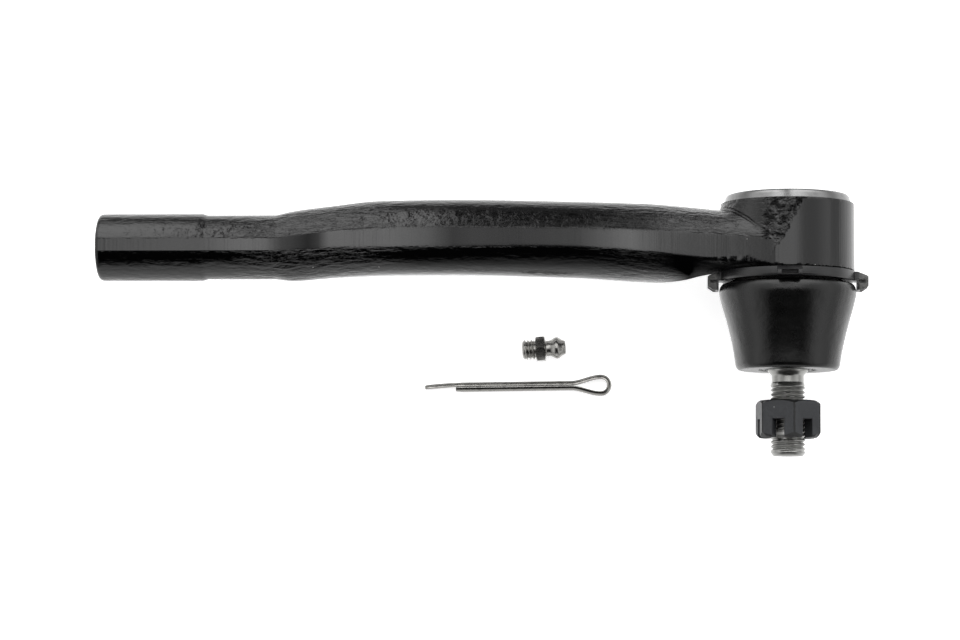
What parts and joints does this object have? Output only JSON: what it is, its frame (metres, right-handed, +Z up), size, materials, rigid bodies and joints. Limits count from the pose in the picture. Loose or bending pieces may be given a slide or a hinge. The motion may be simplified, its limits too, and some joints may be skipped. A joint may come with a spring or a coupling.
{
  "type": "tie rod end",
  "caption": "Outer tie rod end: curved forged arm with a threaded tube end and a ball joint whose booted stud carries a castle nut, with its loose cotter pin and grease fitting.",
  "frame": {"origin": "bottom centre of the whole object's box, as it lies on its side", "axes": "+X from the threaded tube end to the ball housing, -Y along the stud towards its nut, +Z up from the bench"},
  "size_m": [0.2234, 0.0754, 0.046],
  "materials": {
    "forged_arm": "semi-gloss black paint over a forged skin, bare machined lip",
    "cover_plate": "zinc plated",
    "upper_bearing": "ground",
    "preload_spring": "spring steel",
    "lower_bearing": "ground",
    "ball_stud": "bright turned steel",
    "boot_retaining_ring": "black, fine turning lines",
    "dust_boot": "matte black",
    "boot_lip_ring": "plated",
    "castle_nut": "dark grey phosphate",
    "cotter_pin": "zinc plated wire",
    "grease_fitting_body": "bright zinc plate",
    "fitting_check_ball": "polished",
    "fitting_check_spring": "drawn wire"
  },
  "bodies": {
    "housing": {"forged_arm": "forged_arm", "cover_plate": "cover_plate", "upper_bearing": "upper_bearing", "preload_spring": "preload_spring", "boot_retaining_ring": "boot_retaining_ring", "dust_boot": "dust_boot"},
    "ball_seat": {"lower_bearing": "lower_bearing"},
    "boot_neck": {"boot_lip_ring": "boot_lip_ring"},
    "stud": {"ball_stud": "ball_stud"},
    "nut": {"castle_nut": "castle_nut"},
    "pin": {"cotter_pin": "cotter_pin"},
    "fitting": {"grease_fitting_body": "grease_fitting_body", "fitting_check_spring": "fitting_check_spring"},
    "check_ball": {"fitting_check_ball": "fitting_check_ball"}
  },
  "joints": [
    {"name": "swing_direction", "type": "hinge", "parent": "housing", "child": "ball_seat", "pos_m": [0.08875, 0.02285, 0.023], "axis": [0, 1, 0], "continuous": true},
    {"name": "stud_tilt", "type": "hinge", "parent": "ball_seat", "child": "boot_neck", "pos_m": [0.08875, 0.02285, 0.023], "axis": [1, 0, 0], "range_deg": [-22, 22], "deforming": ["dust_boot"]},
    {"name": "stud_spin", "type": "hinge", "parent": "boot_neck", "child": "stud", "pos_m": [0.08875, 0.02285, 0.023], "axis": [0, 1, 0], "continuous": true},
    {"name": "nut_travel", "type": "slide", "parent": "stud", "child": "nut", "axis": [0, 1, 0], "range_m": [-0.017, 0.0055]},
    {"name": "cotter_pin_lift", "type": "slide", "parent": "housing", "child": "pin", "axis": [0, 0, 1], "range_m": [0, 0.06]},
    {"name": "grease_fitting_lift", "type": "slide", "parent": "housing", "child": "fitting", "axis": [0, 0, 1], "range_m": [0, 0.06]},
    {"name": "check_ball_press", "type": "slide", "parent": "fitting", "child": "check_ball", "axis": [-0.9962, -0.0872, 0], "range_m": [0, 0.0008], "deforming": ["fitting_check_spring"]}
  ]
}
